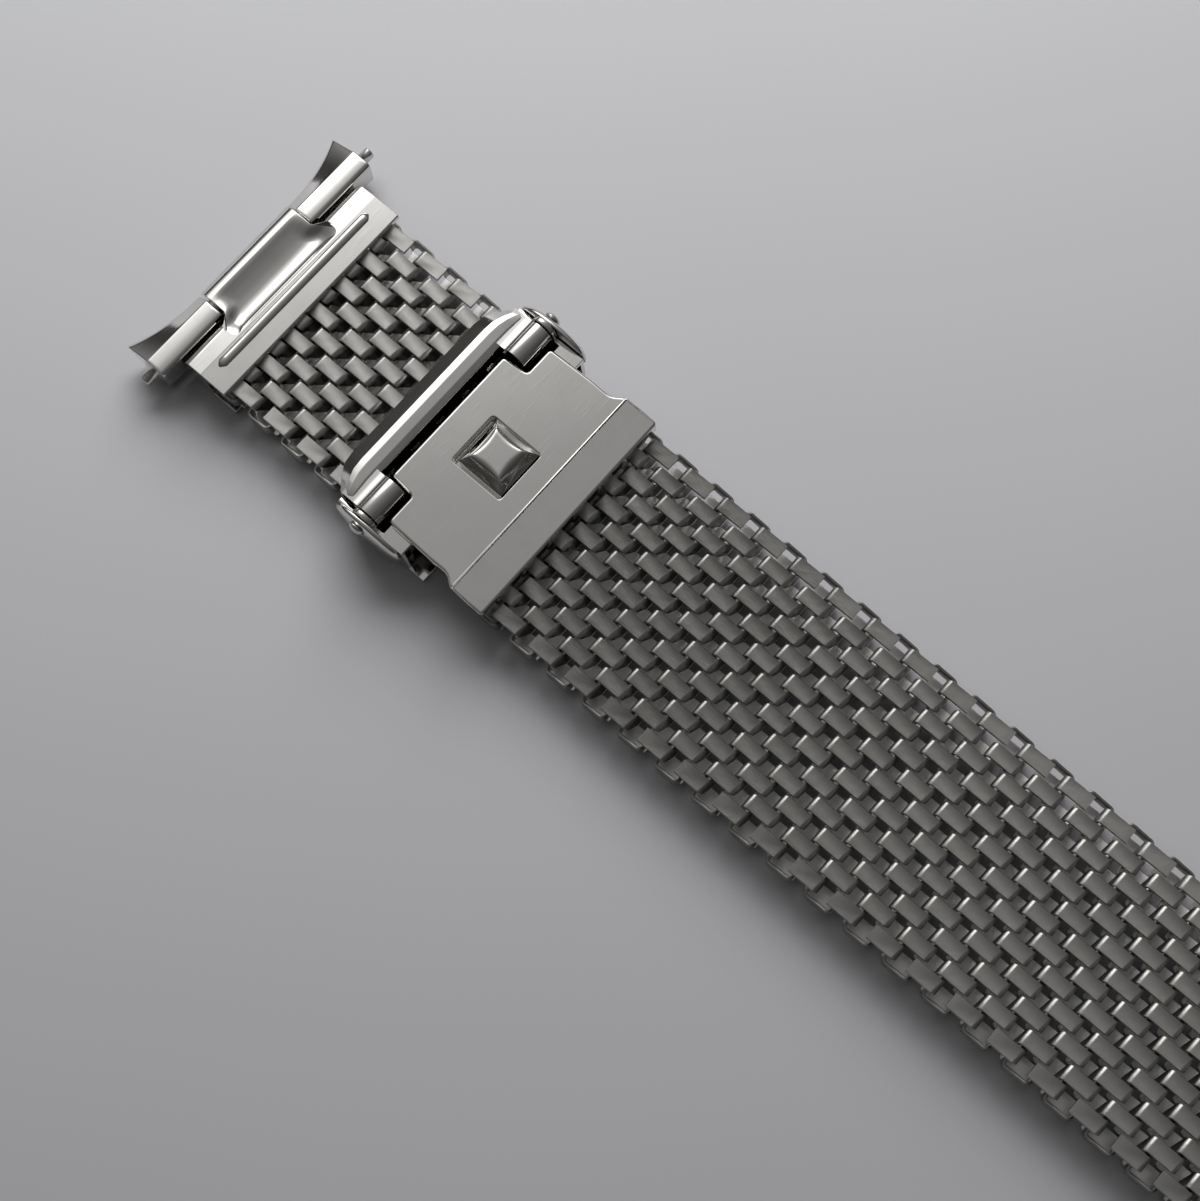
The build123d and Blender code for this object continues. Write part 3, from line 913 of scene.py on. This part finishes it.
        woven = bench.add("GeometryNodeSetShadeSmooth", None, {0: woven, "Shade Smooth": small})
        return bench.add("GeometryNodeSetMaterial", None, {0: woven, "Material": given.out("Finish")})

    def build_group(self) -> None:
        """Builds the node group that weaves one stretch of mesh."""
        tree = bpy.data.node_groups.new("weave", "GeometryNodeTree")
        tree.interface.new_socket("Geometry", in_out="OUTPUT", socket_type="NodeSocketGeometry")
        whole = {"Coils": 1, "First Parity": 0, "Seed": self.seed, "Turns": self.turns}
        sizes = {"First Coil": 0.0, "Middle": self.middle, "Spacing": self.spacing, "Pitch": self.pitch,
                 "Coil Length": self.dressed_length, "Coil Height": self.height,
                 "Ribbon Width": self.width, "Ribbon Thickness": self.thickness,
                 "Bend Radius": self.bend_radius, "Edge Softness": self.edge_softness}
        for kind, values in (("Int", whole), ("Float", {k: v * MM for k, v in sizes.items()}),
                             ("Material", {"Finish": None})):
            for name, value in values.items():
                socket = tree.interface.new_socket(name, in_out="INPUT", socket_type="NodeSocket" + kind)
                socket.default_value = value
                self.keys[name] = socket.identifier
        bench = Bench(tree)
        woven = self._weave(bench, bench.add("NodeGroupInput"), bench.add("GeometryNodeInputIndex"))
        bench.feed(woven, tree.nodes.new("NodeGroupOutput"), "Geometry")
        self.group = tree

    def stretch(self, node: str, side_first: float, high_parity: int) -> None:
        """Weaves the stretch that one CAD node stands for.

        Args:
            node: the CAD node.
            side_first: where the first coil of that side of the band is, in millimetres.
            high_parity: 0 if the side's even coils start high, 1 if its odd ones do.
        """
        x0, x1, _, _, z0, z1 = box_mm(node)
        first = x0 + self.length / 2
        count = round((x1 - x0 - self.length) / self.spacing) + 1
        number = round((first - side_first) / self.spacing)
        raw = added(node + "_raw", bpy.data.meshes.new(node + "_raw"))
        weave = raw.modifiers.new("weave", "NODES")
        weave.node_group = self.group
        for name, value in {"Coils": count, "First Coil": first * MM, "Middle": (z0 + z1) / 2 * MM,
                            "First Parity": (number + high_parity) % 2, "Seed": self.seed + number,
                            "Finish": Workshop.material(Finish.RIBBON)}.items():
            weave[self.keys[name]] = value
        piece = Workshop.bake(raw, node.replace("mesh", "weave"))
        shape = bmesh.new()
        shape.from_mesh(piece.data)
        if shape.calc_volume(signed=True) < 0:
            piece.data.flip_normals()
        shape.free()
        Workshop.fit(piece, Finish.RIBBON, [node])

    def dress(self) -> None:
        """Weaves every stretch of the band."""
        self.build_group()
        for side, high_parity in (("short", 1), ("long", 0)):
            nodes = [n for n in sorted(frame["nodes"]) if n.startswith(side + "_mesh")]
            side_first = box_mm(nodes[0])[0] + self.length / 2
            for node in nodes:
                self.stretch(node, side_first, high_parity)


@dataclass
class Clasp:
    """The sliding clasp: frame, lock bar, cheeks, rivets, cover and stud. Sizes are in millimetres."""

    pivot_z: float = 4.0
    floor: float = 3.10
    cover_low: float = 3.60
    cover_high: float = 4.20
    cover_rim: float = 0.20
    score_x: float = 7.24
    score_rim: float = 0.06
    grip_end: float = 9.80
    grip_rim: float = 0.16
    grip_drop: float = 0.12
    grip_crown: float = 0.06
    hinge_x: float = 5.35
    hinge_z: float = 0.85
    crest_back: float = -1.24
    crest_pull: float = 1.35
    pull_start: float = 6.1
    end_sink: float = 0.10
    side_half: float = 8.20
    knuckle_inner: float = 5.60
    knuckle_radius: float = 0.9
    stud_shoulder: float = 0.74
    stud_hollow: float = 0.36
    stud_flank: float = 0.42
    stud_cells: int = 44

    def cover_sheet(self) -> bpy.types.Object:
        """The flat of the cover with its window, tab, notches and waist."""
        outline = mirrored([(-0.65, 5.30, 0.30), (1.25, 5.46, 0.20), (1.25, 7.65, 0.34), (4.9, 7.76, 6.0),
                            (6.36, 7.72, 1.1), (7.02, 8.22, 0.8), (self.score_x, 8.28, 0.0)])
        x0, x1, y0, y1, _, _ = box_mm("snap_stud")
        x0, x1, y0, y1 = x0 - 0.45, x1 + 0.08, y0 - 0.25, y1 + 0.10
        window = rounded([(x0, y0, 0.25), (x1, y0, 0.18), (x1, y1, 0.18), (x0, y1, 0.25)])
        draft = pressed(rounded(outline), self.cover_low, self.cover_high,
                        lambda x, y: self.score_rim if x > self.score_x - 0.02 else self.cover_rim,
                        window, 0.07)
        return draft.solid("cover_sheet", 0.0)

    def cover_grip(self) -> bpy.types.Object:
        """The sloping fold that holds the long side of the mesh."""
        start, reach = self.score_x, self.grip_end - self.score_x
        outline = mirrored([(start - 0.01, 8.26, 0.03), (8.6, 8.30, 2.0), (self.grip_end, 8.29, 0.24)])
        draft = pressed(rounded(outline), self.floor, self.cover_high,
                        lambda x, y: 0.10 if x < start + 0.1 else self.grip_rim)

        def slope(p: Vector) -> Vector:
            """Crowns the top, lowers it towards the back, and flattens its rim along the score.

            Args:
                p: a point of the plate.

            Returns:
                Its new place.
            """
            if p.x < start + 0.12 and p.z > self.cover_high - 0.11:
                p = Vector((p.x, p.y, self.cover_high - (self.cover_high - p.z) * 0.25))
            share = max(0.0, (p.x - start) / reach)
            rise = (p.z - self.floor) / (self.cover_high - self.floor)
            crown = self.grip_crown * math.sin(math.pi * min(1.0, share))
            return Vector((p.x, p.y, p.z + (crown - self.grip_drop * share ** 2.4) * rise))

        return draft.place(slope).solid("cover_grip")

    def cover_under(self) -> bpy.types.Object:
        """The parts of the cover below its sheet: back wall, lower jaw and hinge lugs."""
        wall = bar(rounded([(6.35, 0.0, 0.15), (self.grip_end, 0.0, 0.12), (self.grip_end, 0.40, 0.12),
                            (6.80, 0.40, 0.1), (6.80, 3.10, 0.1), (7.30, 3.10, 0.0), (7.30, 3.62, 0.0),
                            (6.35, 3.62, 0.1)], 4), -7.75, 7.75)
        lug = rounded([(4.95, 3.65, 0.0), (4.95, 1.2, 0.3), (5.75, 1.2, 0.3), (5.75, 3.65, 0.0)], 3)
        for y0, y1 in ((-7.40, -4.05), (4.05, 7.40)):
            wall.absorb(bar(lug, y0, y1))
            wall.absorb(lathe(self.hinge_x, self.hinge_z, [(y0, 0.66), (y0 + 0.06, 0.72), (y1 - 0.06, 0.72),
                                                           (y1, 0.66)]))
        return wall.solid("cover_under", 0.05, 2)

    def lock_bar(self) -> bpy.types.Object:
        """The lock bar with its hollow front slope, rounded crest and end knuckles."""
        low, back = box_mm("lock_bar")[0], self.crest_back
        section = rounded([(low, self.floor, 0.05), (low, 3.84, 0.06), (low + 0.98, 4.42, 0.10),
                           (-2.30, 4.50, 0.5), (-1.66, 4.47, 0.25), (back, 4.28, 0.12),
                           (back, self.floor, 0.05)], 5)
        shares = (0.70, 0.80, 0.88, 0.95, 0.985, 1.0)
        rows = []
        for share in (*(-s for s in reversed(shares)), *shares):
            y = share * self.side_half
            out = max(0.0, (abs(y) - self.pull_start) / (self.side_half - self.pull_start))
            pull = self.crest_pull * out ** 1.6
            sink = self.end_sink * max(0.0, (abs(share) - 0.93) / 0.07) ** 2
            rows.append([(x + pull * max(0.0, min(1.0, (back - x) / (back - low))), y,
                          z - sink * (z - self.floor)) for x, z in section])
        draft = Draft().loft(rows)
        arm = [(-2.2, self.floor), (-2.2, 4.40), (-1.30, 4.42), (-0.95, 4.46),
               *arc(0, self.pivot_z, self.knuckle_radius, 139, -60, 20), (0.1, self.floor)]
        for y0, y1 in ((-self.side_half, -self.knuckle_inner), (self.knuckle_inner, self.side_half)):
            draft.absorb(bar(arm, y0, y1))
        return draft.solid("lock_bar_dressed", 0.13, 4, 40.0)

    def stud(self) -> bpy.types.Object:
        """The snap stud: a four-sided pillow with hollow flanks, ridges and a flat top."""
        x0, x1, y0, y1, z0, top = box_mm("snap_stud")
        shoulder = z0 + self.stud_shoulder

        def level(u: float, v: float) -> float:
            """Works out the pillow's height.

            Args:
                u: where along the band, from -1 to 1.
                v: where across it, from -1 to 1.

            Returns:
                The height in millimetres.
            """
            wide, narrow = max(abs(u), abs(v)), min(abs(u), abs(v))
            ridge = (narrow / wide) ** 2 if wide > 0 else 1.0
            out = wide + self.stud_hollow * wide * (1 - wide) * (1 - ridge)
            climb = min(1.0, (1 - out) / self.stud_flank)
            return shoulder + (top - shoulder) * math.sin(math.pi / 2 * climb) ** 1.15

        draft = Draft()
        cells = self.stud_cells
        places = [math.sin(math.pi / 2 * (2 * n / cells - 1) * 0.999) for n in range(cells + 1)]
        rows = [draft.ring([(x0 + (u + 1) / 2 * (x1 - x0), y0 + (v + 1) / 2 * (y1 - y0), level(u, v))
                            for v in places]) for u in places]
        draft.skin(rows, closed=False)
        edge = [*(r[0] for r in rows), *rows[-1][1:], *(r[-1] for r in reversed(rows[:-1])),
                *reversed(rows[0][1:-1])]
        foot = draft.ring([(v.co.x / MM, v.co.y / MM, z0) for v in edge])
        draft.skin([foot, edge])
        draft.lid(foot)
        return draft.solid("stud_pillow", 0.06, 3, 42.0)

    def cheek(self, node: str) -> bpy.types.Object:
        """Turns out a domed oval cheek plate.

        Args:
            node: the CAD node that it is drawn for.

        Returns:
            The piece.
        """
        x0, x1, y0, y1, z0, z1 = box_mm(node)
        cx, cz, rx, rz = (x0 + x1) / 2, (z0 + z1) / 2, (x1 - x0) / 2, (z1 - z0) / 2
        sign, inner = (1, y0) if y0 > 0 else (-1, -y1)
        profile = [(0.96, 0.0), (1.0, 0.05), (1.0, 0.14), (0.985, 0.24), (0.94, 0.33), (0.86, 0.41),
                   (0.72, 0.48), (0.5, 0.53), (0.25, y1 - y0)]
        turns = [math.tau * n / 56 for n in range(56)]
        rings = [[(cx + rx * share * math.cos(a), sign * (inner + out), cz + rz * share * math.sin(a))
                  for a in turns] for share, out in profile]
        return Draft().loft(rings).solid(node + "_domed")

    def rivet(self, node: str) -> bpy.types.Object:
        """Turns a front rivet: shank and domed head.

        Args:
            node: the CAD node that it is drawn for.

        Returns:
            The piece.
        """
        _, _, y0, y1, _, _ = box_mm(node)
        sign, inner, outer = (1, y0, y1) if y0 > 0 else (-1, -y1, -y0)
        face = outer - 0.32
        profile = [(inner, 0.30), (inner + 0.05, 0.35), (face - 0.02, 0.35), (face - 0.02, 0.56)]
        profile += [(face + 0.32 * math.sin(t), 0.58 * math.cos(t)) for t in
                    (math.radians(6 + 80 * n / 7) for n in range(8))]
        draft = lathe(0, self.pivot_z, [(sign * y, r) for y, r in profile])
        return draft.solid(node + "_turned")

    def dress(self) -> None:
        """Builds the clasp's pieces and puts them on its CAD nodes."""
        for piece in (self.cover_sheet(), self.cover_grip(), self.cover_under()):
            Workshop.fit(piece, Finish.MIRROR, ["cover_plate"])
        Workshop.fit(self.lock_bar(), Finish.MIRROR, ["lock_bar"])
        Workshop.fit(self.stud(), Finish.MIRROR, ["snap_stud"])
        Workshop.fit(softened("slide_frame", 0.06), Finish.MIRROR, ["slide_frame"])
        Workshop.fit(softened("cover_pin", 0.05), Finish.TURNED, ["cover_pin"])
        for hand in ("left", "right"):
            Workshop.fit(self.cheek(f"cheek_{hand}"), Finish.MIRROR, [f"cheek_{hand}"])
            Workshop.fit(self.rivet(f"front_pin_{hand}"), Finish.TURNED, [f"front_pin_{hand}"])


@dataclass
class BandEnd:
    """One end of the band: folded cap, tongue, end link and spring bar.

    Sizes are in millimetres, in the end's own frame, which starts at the cap's mouth.
    """

    side: str
    facing: int
    mouth: float = 0.0
    cap_half: float = 8.30
    cap_top: float = 3.50
    bead_at: float = 1.66
    bead_half: float = 7.1
    dish_start: float = 2.32
    dish_depth: float = 0.52
    dish_rim: float = 0.26
    bar_at: float = 5.40
    bar_z: float = 2.0
    bore_radius: float = 0.78
    tongue_radius: float = 1.38
    tongue_half: float = 4.10
    tongue_flare: float = 0.95
    flare_end: float = 4.15
    flare_span: float = 0.9
    link_inner: float = 4.25
    link_outer: float = 9.90
    lip_reach: float = 1.26
    horn_reach: float = 1.32
    lip_height: float = 2.42
    horn_drop: float = 0.32

    def place(self, draft: Draft) -> Draft:
        """Moves a draft from the end's own frame into the band's."""
        return draft.place(lambda p: Vector((self.mouth + self.facing * p.x, p.y, p.z)))

    def bore(self) -> Draft:
        """The cutter for the spring bar's hole."""
        reach = 11.0
        bore = lathe(self.bar_at, self.bar_z, [(-reach, self.bore_radius), (reach, self.bore_radius)], 28)
        return self.place(bore)

    def cap(self) -> bpy.types.Object:
        """The folded cap that grips the mesh."""
        top = self.cap_top
        fold = bar(rounded([(0, 0, 0.1), (3.4, 0, 0.4), (4.0, 0.45, 0.4), (4.0, 2.80, 0.4), (3.45, 3.42, 0.5),
                            (2.2, top, 0.8), (0.0, top, 0.12), (0.0, 3.10, 0.05), (2.07, 3.10, 0.1),
                            (2.07, 0.40, 0.1), (0.0, 0.40, 0.05)], 4), -self.cap_half, self.cap_half)
        notch = rounded(mirrored([(self.dish_start, -4.9, 0.45), (4.6, -4.9, 0.1)]), 4)
        room = self.place(Draft().loft([[(x, y, z) for x, y in notch] for z in (2.60, 4.10)]))
        return self.place(fold).solid(f"{self.side}_cap_fold", 0.14, 4, 40.0, [room])

    def bead(self) -> bpy.types.Object:
        """The raised line along the top of the cap."""
        foot = self.cap_top - 0.08
        rows = []
        for number in range(25):
            share = number / 12 - 1
            y = self.bead_half * math.copysign(abs(share) ** 0.6, share)
            end = min(1.0, (self.bead_half - abs(y)) / 0.45)
            rise = math.sqrt(max(0.0, 1 - (1 - end) ** 2))
            half, tall = 0.12 + 0.27 * rise, 0.08 + 0.20 * rise
            rows.append([(self.bead_at + half * math.cos(t), y, foot + tall * math.sin(t))
                         for t in (math.pi * n / 12 for n in range(13))])
        return self.place(Draft().loft(rows)).solid(f"{self.side}_bead")

    def tongue(self) -> bpy.types.Object:
        """The tongue that comes out of the cap and wraps the spring bar, with its dished top."""
        start = self.dish_start - 0.06
        span = self.bar_at - start
        top = [(start + span * (n / 18) ** 1.25, self.cap_top - 0.02 - 0.10 * n / 18) for n in range(19)]
        loop = [*top, *arc(self.bar_at, self.bar_z, self.tongue_radius, 84, -222, 34), (start, 2.70)]
        shares = (0.25, 0.5, 0.66, 0.74, 0.80, 0.85, 0.90, 0.95, 0.985, 1.0)
        rows = []
        for share in (*(-s for s in reversed(shares)), 0.0, *shares):
            edge = min(1.0, (1 - abs(share)) / self.dish_rim)
            depth = self.dish_depth * edge * edge * (3 - 2 * edge)
            row = []
            for number, (x, z) in enumerate(loop):
                flare = max(0.0, min(1.0, (self.flare_end - x) / self.flare_span))
                half = self.tongue_half + self.tongue_flare * flare * flare * (3 - 2 * flare)
                along = min(1.0, ((x - start) / span) ** 0.72) if number < len(top) else 0.0
                row.append((x, share * half, z - depth * math.sin(math.pi * along) ** 0.9))
            rows.append(row)
        draft = self.place(Draft().loft(rows))
        return draft.solid(f"{self.side}_tongue", 0.10, 3, 45.0, [self.bore()])

    def wing(self, sign: int) -> Draft:
        """One of the end link's wings: a ridge over the spring bar, with a slope down to its lip.

        Args:
            sign: 1 or -1, the side of the band that it is on.

        Returns:
            The draft.
        """
        rows = []
        for number in range(25):
            share = number / 24
            y = self.link_inner + (self.link_outer - self.link_inner) * share
            reach = self.lip_reach + self.horn_reach * share ** 2.2
            lip = Vector((reach, self.lip_height - self.horn_drop * share ** 2))
            end = 60.0
            for _ in range(4):
                last = Vector(arc(0.22, 2.70, 0.38, end, end, 1)[0])
                end = 90 - math.degrees(math.atan2(last.y - lip.y, lip.x - last.x))
            section = [*arc(-0.84, 2.76, 0.36, 180, 92, 6), (-0.30, 3.11), *arc(0.22, 2.70, 0.38, 87, end, 7),
                       *(last.lerp(lip, step / 8) for step in range(1, 9)),
                       (reach + 0.05, lip.y - 0.08), (reach + 0.02, lip.y - 0.18), (reach - 0.55, 0.62),
                       (reach - 0.75, 0.55), (-0.85, 0.55), (-1.06, 0.98)]
            rows.append([(self.bar_at + x, sign * y, z) for x, z in section])
        return Draft().loft(rows)

    def link(self) -> bpy.types.Object:
        """The end link's two wings, whose fronts flare out into horns."""
        draft = self.wing(-1)
        draft.absorb(self.wing(1))
        return self.place(draft).solid(f"{self.side}_link_wings", 0.09, 3, 38.0, [self.bore()])

    def strap(self) -> bpy.types.Object:
        """The strap under the tongue that joins the link's two wings."""
        half, x0, x1 = self.link_inner + 0.3, self.bar_at - 0.50, self.bar_at + 1.25
        outline = rounded([(x0, 0.23, 0.1), (x1, 0.23, 0.1), (x1, 0.56, 0.1), (x0, 0.56, 0.1)], 3)
        return self.place(bar(outline, -half, half)).solid(f"{self.side}_link_strap", 0.05, 2)

    def spring_bar(self) -> bpy.types.Object:
        """The spring bar's tube, with a fine groove near each end."""
        end = [(9.05, 0.75), (9.1, 0.71), (9.25, 0.71), (9.3, 0.75), (9.84, 0.75), (9.9, 0.72), (9.9, 0.60)]
        profile = [*((-y, r) for y, r in reversed(end)), *end]
        draft = lathe(self.bar_at, self.bar_z, profile, 40)
        return self.place(draft).solid(f"{self.side}_tube")

    def tip(self, sign: int, hand: str) -> bpy.types.Object:
        """Turns a sprung tip with its plunger.

        Args:
            sign: 1 or -1, the side of the band that it is on.
            hand: "left" or "right", for its name.

        Returns:
            The piece.
        """
        profile = [(8.05, 0.50), (8.1, 0.55), (9.86, 0.55), (9.9, 0.52), (9.91, 0.40), (10.80, 0.40),
                   (10.87, 0.36), (10.90, 0.28)]
        draft = lathe(self.bar_at, self.bar_z, [(sign * y, r) for y, r in profile])
        return self.place(draft).solid(f"{self.side}_tip_{hand}_turned")

    def dress(self) -> None:
        """Builds the end's pieces and puts them on its CAD nodes."""
        x0, x1, *_ = box_mm(f"{self.side}_end_cap")
        self.mouth = x1 if self.facing < 0 else x0
        for piece in (self.cap(), self.bead(), self.tongue()):
            Workshop.fit(piece, Finish.MIRROR, [f"{self.side}_end_cap"])
        for piece in (self.link(), self.strap()):
            Workshop.fit(piece, Finish.MIRROR, [f"{self.side}_end_link"])
        Workshop.fit(self.spring_bar(), Finish.TURNED, [f"{self.side}_spring_bar"])
        for sign, hand in ((1, "left"), (-1, "right")):
            Workshop.fit(self.tip(sign, hand), Finish.TURNED, [f"{self.side}_bar_tip_{hand}"])


@dataclass
class Studio:
    """The pale table, the soft lamps, the room and the camera. Lamps are in metres and watts."""

    focal_px: float = 1839.9
    frame_px: float = 1201.0
    sensor_mm: float = 36.0
    eye_mm: Place = (37.484, -20.811, 113.941)
    right: Place = (0.74828, 0.66177, -0.04629)
    down: Place = (0.63244, -0.73269, -0.25136)
    ahead: Place = (-0.20026, 0.15881, -0.96679)
    near_clip: float = 0.005
    table_colour: Colour = (0.30, 0.30, 0.312, 1.0)
    table_dark: Colour = (0.29, 0.29, 0.30, 1.0)
    aim: Place = (0.02, 0.0, 0.0)
    lamps: tuple = (("window", (-0.09, 0.12, 0.13), (0.20, 0.15), 0.87),
                    ("ceiling", (-0.10, 0.12, 0.55), (1.10, 1.10), 1.85))
    window: Place = (-0.65, 0.45, 0.62)
    levels: tuple = ((0.0, 0.018), (0.45, 0.020), (0.66, 0.036), (0.772, 0.045), (0.80, 0.053),
                     (0.838, 0.058), (0.923, 0.094), (0.952, 0.19), (0.98, 0.50), (1.0, 0.90))
    horizon: Colour = (0.012, 0.0115, 0.011, 1.0)
    room_strength: float = 4.0

    def add_camera(self) -> None:
        """Places the camera where the photograph was taken from."""
        data = bpy.data.cameras.new("camera")
        data.sensor_width = self.sensor_mm
        data.lens = self.focal_px * self.sensor_mm / self.frame_px
        data.clip_start = self.near_clip
        camera = added("camera", data)
        turn = Matrix((self.right, -Vector(self.down), -Vector(self.ahead))).transposed().to_4x4()
        camera.matrix_world = Matrix.Translation(Vector(self.eye_mm) * MM) @ turn
        bpy.context.scene.camera = camera

    def add_table(self) -> None:
        """Lays the pale table under the band."""
        material, bench, shader, place = new_material("table")
        cloud = bench.add("ShaderNodeTexNoise", None, {0: place, "Scale": 24.0, "Detail": 2.0})
        bench.feed(bench.tint(cloud, self.table_colour, self.table_dark), shader, "Base Color")
        shader.inputs["Roughness"].default_value = 0.75
        bpy.ops.mesh.primitive_plane_add(size=4.0, location=(0.04, 0, -0.00002))
        table = bpy.context.object
        table.name = "table"
        table.data.materials.append(material)

    def add_lamp(self, name: str, place: Place, size: Span, power: float) -> None:
        """Adds a soft lamp that faces the clasp, and that the steel doesn't mirror.

        Args:
            name: the lamp's name.
            place: where it is, in metres.
            size: its two sides, in metres.
            power: its power in watts.
        """
        data = bpy.data.lights.new(name, "AREA")
        data.shape = "RECTANGLE"
        data.size, data.size_y = size
        data.energy = power
        lamp = added(name, data)
        lamp.location = place
        lamp.visible_glossy = False
        lamp.rotation_euler = (Vector(self.aim) - lamp.location).to_track_quat("-Z", "Y").to_euler()

    def add_room(self) -> None:
        """Makes the room that the steel mirrors: bright towards the window, dim near the horizon."""
        world = bpy.data.worlds.new("room")
        world.use_nodes = True
        bpy.context.scene.world = world
        bench = Bench(world.node_tree)
        way = bench.add("ShaderNodeTexCoord", output="Generated")
        bright = bench.add("ShaderNodeVectorMath", {"operation": "DOT_PRODUCT"},
                           {0: way, 1: Vector(self.window).normalized()}, "Value")
        level = bench.add("ShaderNodeValToRGB", {"stops": self.levels}, {0: bright * 0.5 + 0.5})
        rise = bench.axis(way, "Z").between(0.10, 0.45)
        background = world.node_tree.nodes["Background"]
        bench.feed(bench.tint(rise, self.horizon, level), background, "Color")
        background.inputs["Strength"].default_value = self.room_strength
        world.cycles_visibility.diffuse = False

    def build(self) -> None:
        """Sets up the whole studio."""
        self.add_camera()
        self.add_table()
        self.add_room()
        for lamp in self.lamps:
            self.add_lamp(*lamp)
        bpy.context.scene.view_settings.view_transform = "Standard"
        LOG.info("studio ready")


def main() -> None:
    """Builds the band on its frame, piece by piece."""
    logging.basicConfig(level=logging.INFO, format="%(name)s %(message)s", stream=sys.stdout)
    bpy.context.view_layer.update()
    Studio().build()
    MeshBand().dress()
    Clasp().dress()
    for end in (BandEnd("near", -1), BandEnd("far", 1)):
        end.dress()


if __name__ == "__main__":
    main()
